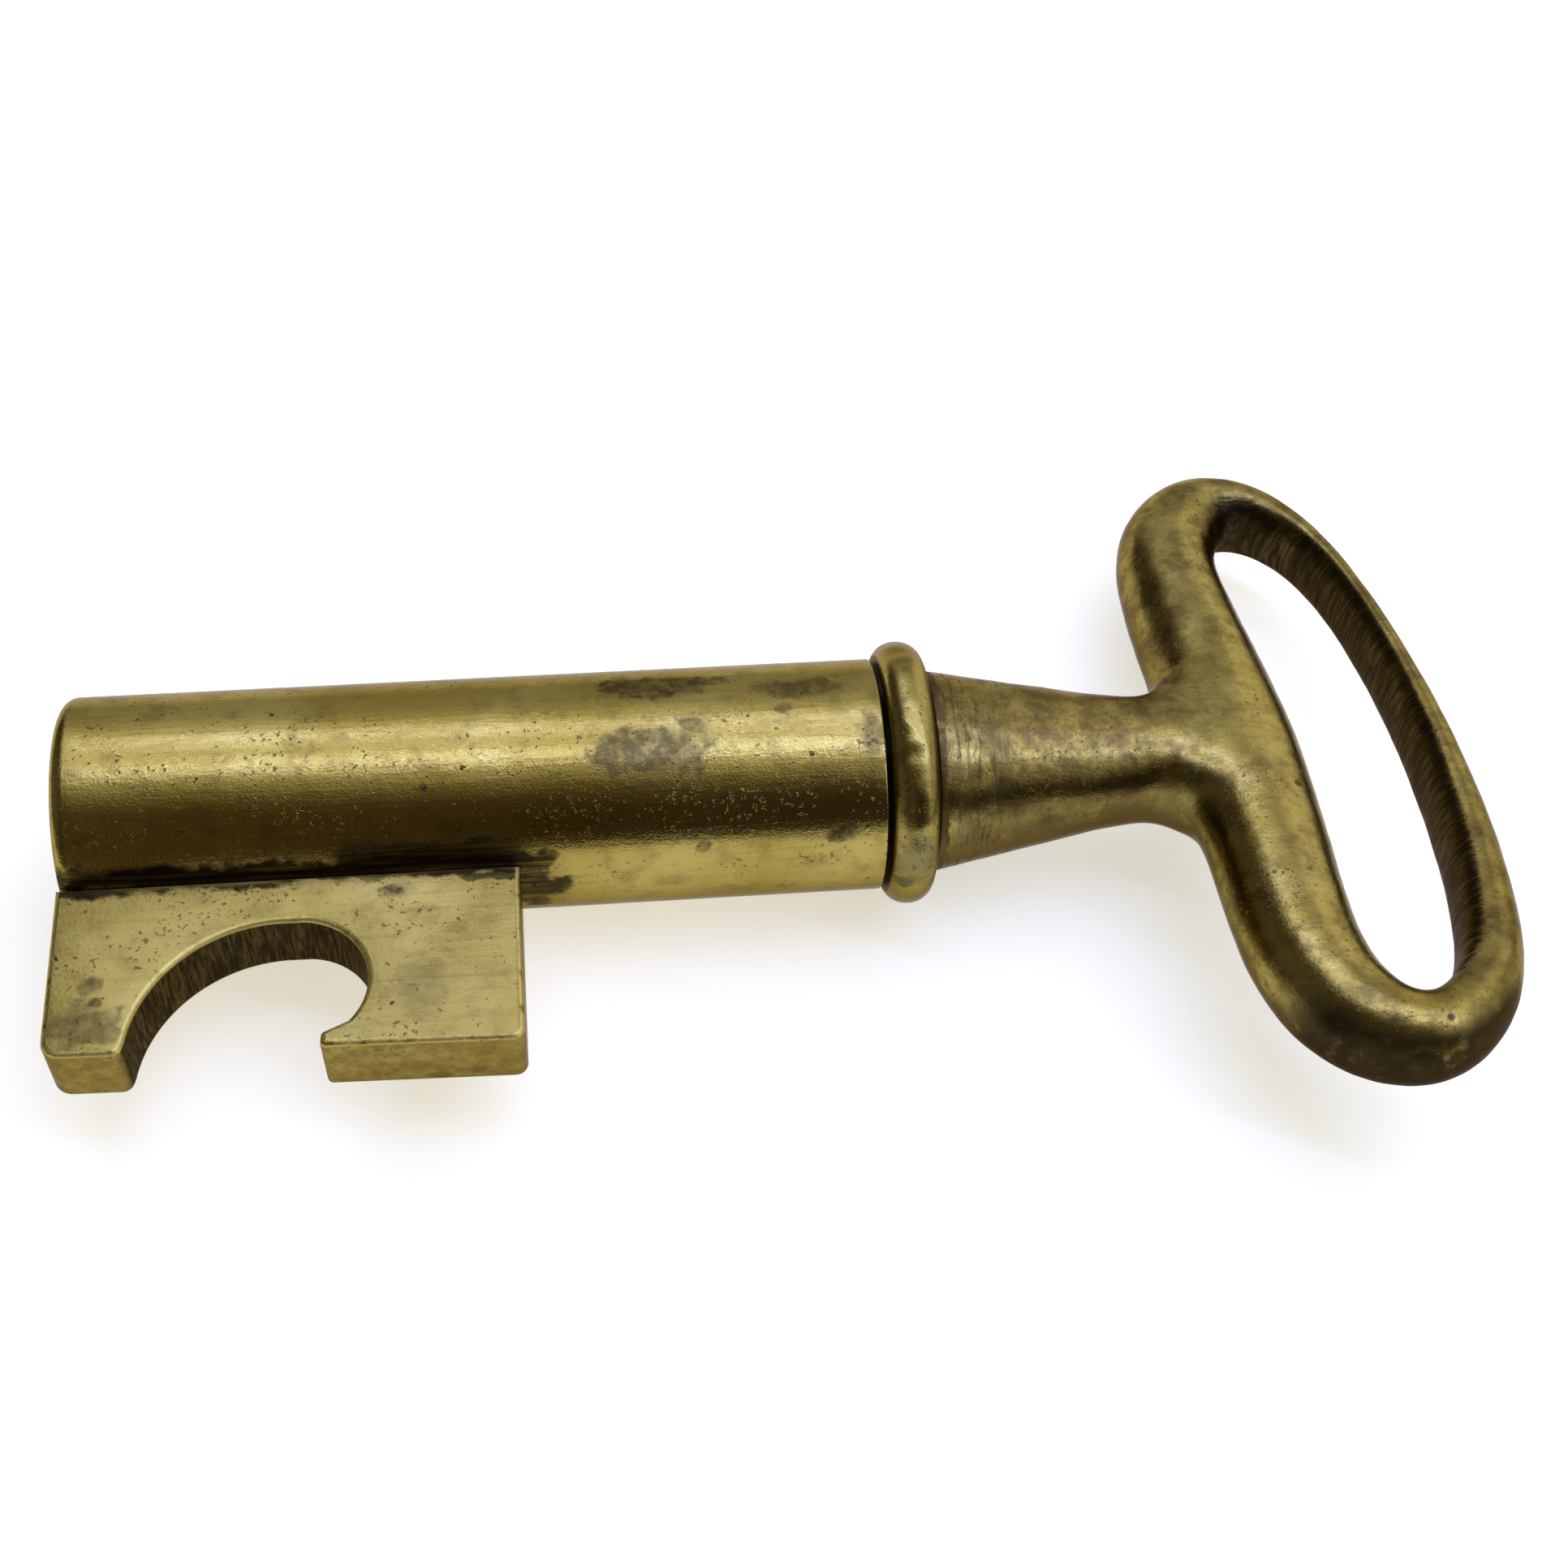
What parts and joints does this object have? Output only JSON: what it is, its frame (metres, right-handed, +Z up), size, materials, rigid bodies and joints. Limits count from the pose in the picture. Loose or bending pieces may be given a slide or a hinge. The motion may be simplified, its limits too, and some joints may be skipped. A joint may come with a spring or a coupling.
{
  "type": "key-shaped bottle opener with concealed corkscrew",
  "caption": "Brass key whose cut-out bit lifts crown caps and whose barrel unscrews from the bow to bare a steel corkscrew worm.",
  "frame": {"origin": "centre of the flat closed end of the barrel, on the shaft's axis", "axes": "+X along the shaft from the closed end to the bow, -Y the way the opener bit points, +Z up out of the bow's plane"},
  "size_m": [0.1201, 0.0695, 0.0228],
  "materials": {
    "handle_brass": "aged cast brass, hand filed, brown patina",
    "ring_brass": "aged turned brass",
    "spigot_brass": "turned and threaded brass, less tarnished",
    "barrel_brass": "aged brass tube, fine lengthwise wear",
    "bit_brass": "aged brass plate, edges worn bright",
    "plug_brass": "faced brass disc",
    "worm_steel": "drawn steel wire, lightly tarnished"
  },
  "bodies": {
    "handle": {"bow_handle": "handle_brass", "threaded_spigot": "spigot_brass", "worm": "worm_steel"},
    "ring": {"collar_ring": "ring_brass"},
    "sleeve": {"barrel": "barrel_brass", "opener_bit": "bit_brass", "end_plug": "plug_brass"}
  },
  "joints": [
    {"name": "sleeve_unscrew", "type": "hinge", "parent": "handle", "child": "ring", "pos_m": [0, 0, 0], "axis": [-1, 0, 0], "range_deg": [0, 1800]},
    {"name": "sleeve_pull_off", "type": "slide", "parent": "ring", "child": "sleeve", "axis": [-1, 0, 0], "range_m": [0, 0.08]}
  ]
}
